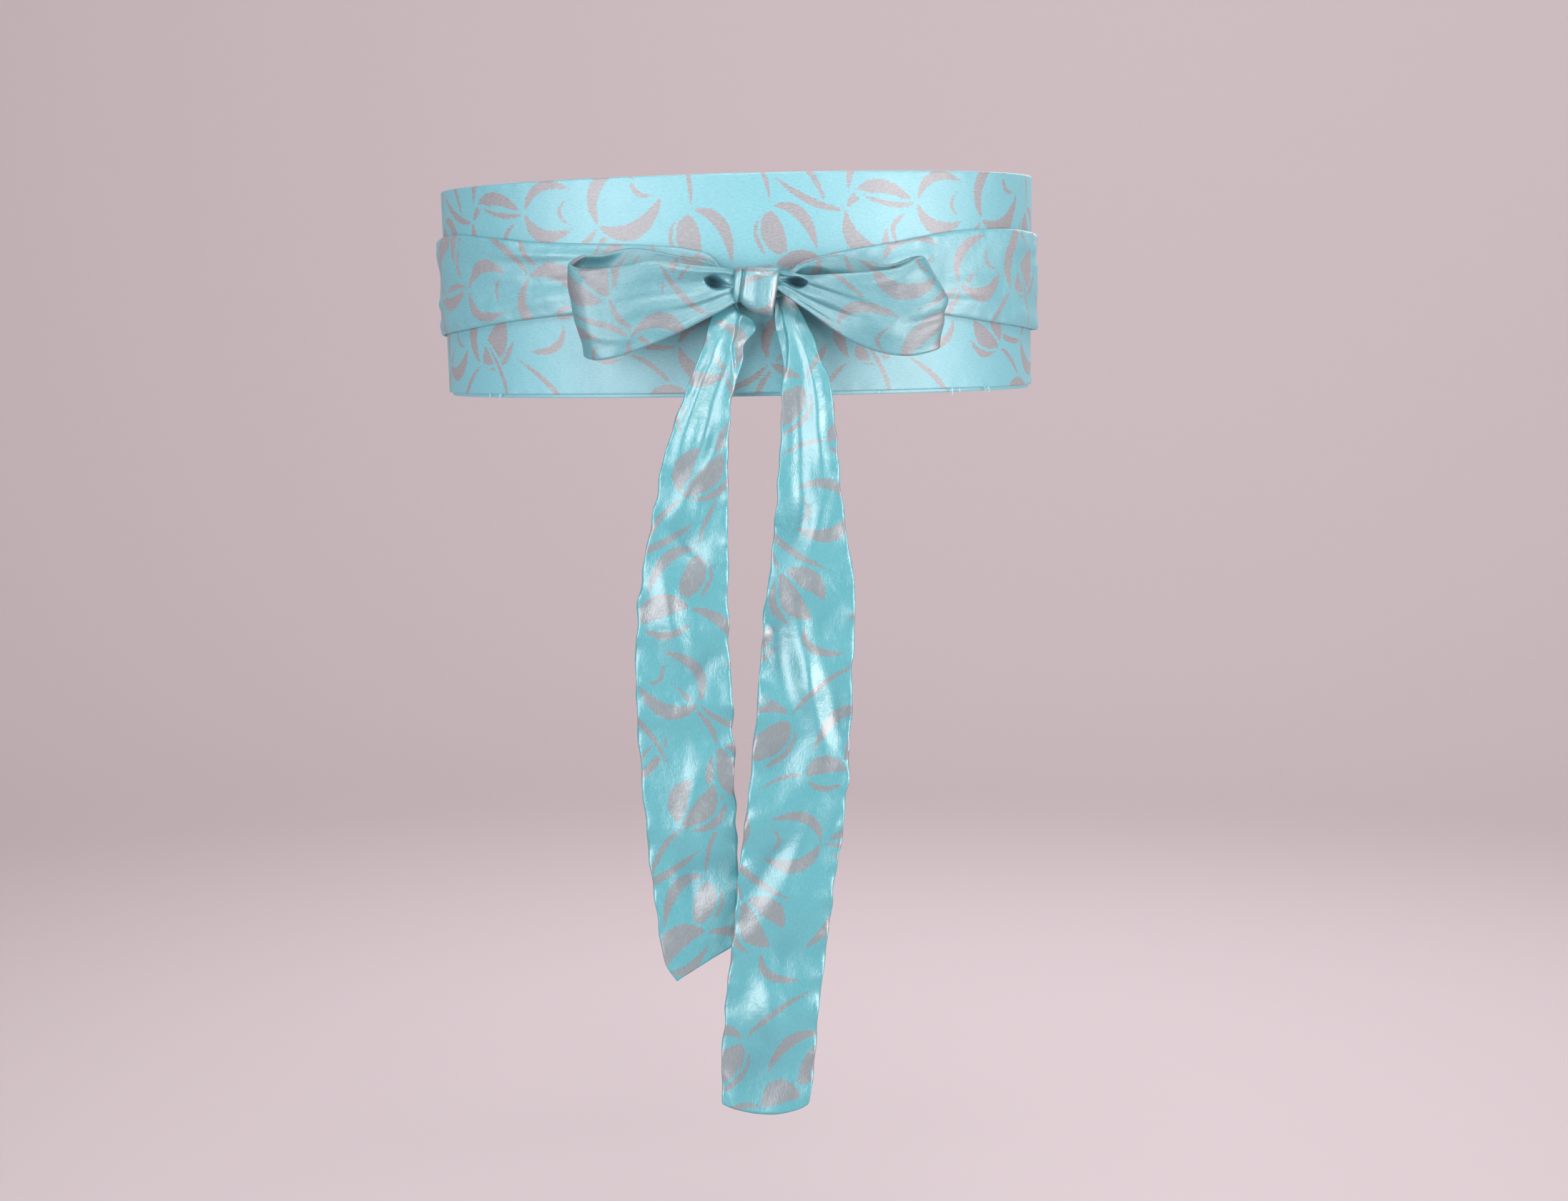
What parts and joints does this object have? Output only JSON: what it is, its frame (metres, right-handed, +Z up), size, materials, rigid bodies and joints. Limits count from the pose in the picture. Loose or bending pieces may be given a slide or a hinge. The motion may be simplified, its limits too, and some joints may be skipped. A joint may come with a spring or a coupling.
{
  "type": "obi sash",
  "caption": "Worn obi sash: a broad satin panel round the waist, ties wound over it and tied in front in a bow with long hanging tails.",
  "frame": {"origin": "the middle of the waist that wears the sash, at half the panel's height", "axes": "+Z up along the waist's axis; the front with the bow faces -Y; +X is the wearer's left"},
  "size_m": [0.2755, 0.2219, 0.4035],
  "materials": {
    "satin": "aqua satin printed with silver-grey tulips and leaves",
    "tie_satin": "aqua satin printed with silver-grey tulips and leaves",
    "lining": "plain aqua satin back"
  },
  "bodies": {
    "root": {"waist_panel": "satin", "panel_lining": "lining", "wrap_left": "tie_satin", "wrap_right": "tie_satin", "loop_left": "tie_satin", "loop_right": "tie_satin", "knot_band": "tie_satin", "tail_left": "tie_satin", "tail_right": "tie_satin"}
  },
  "joints": []
}
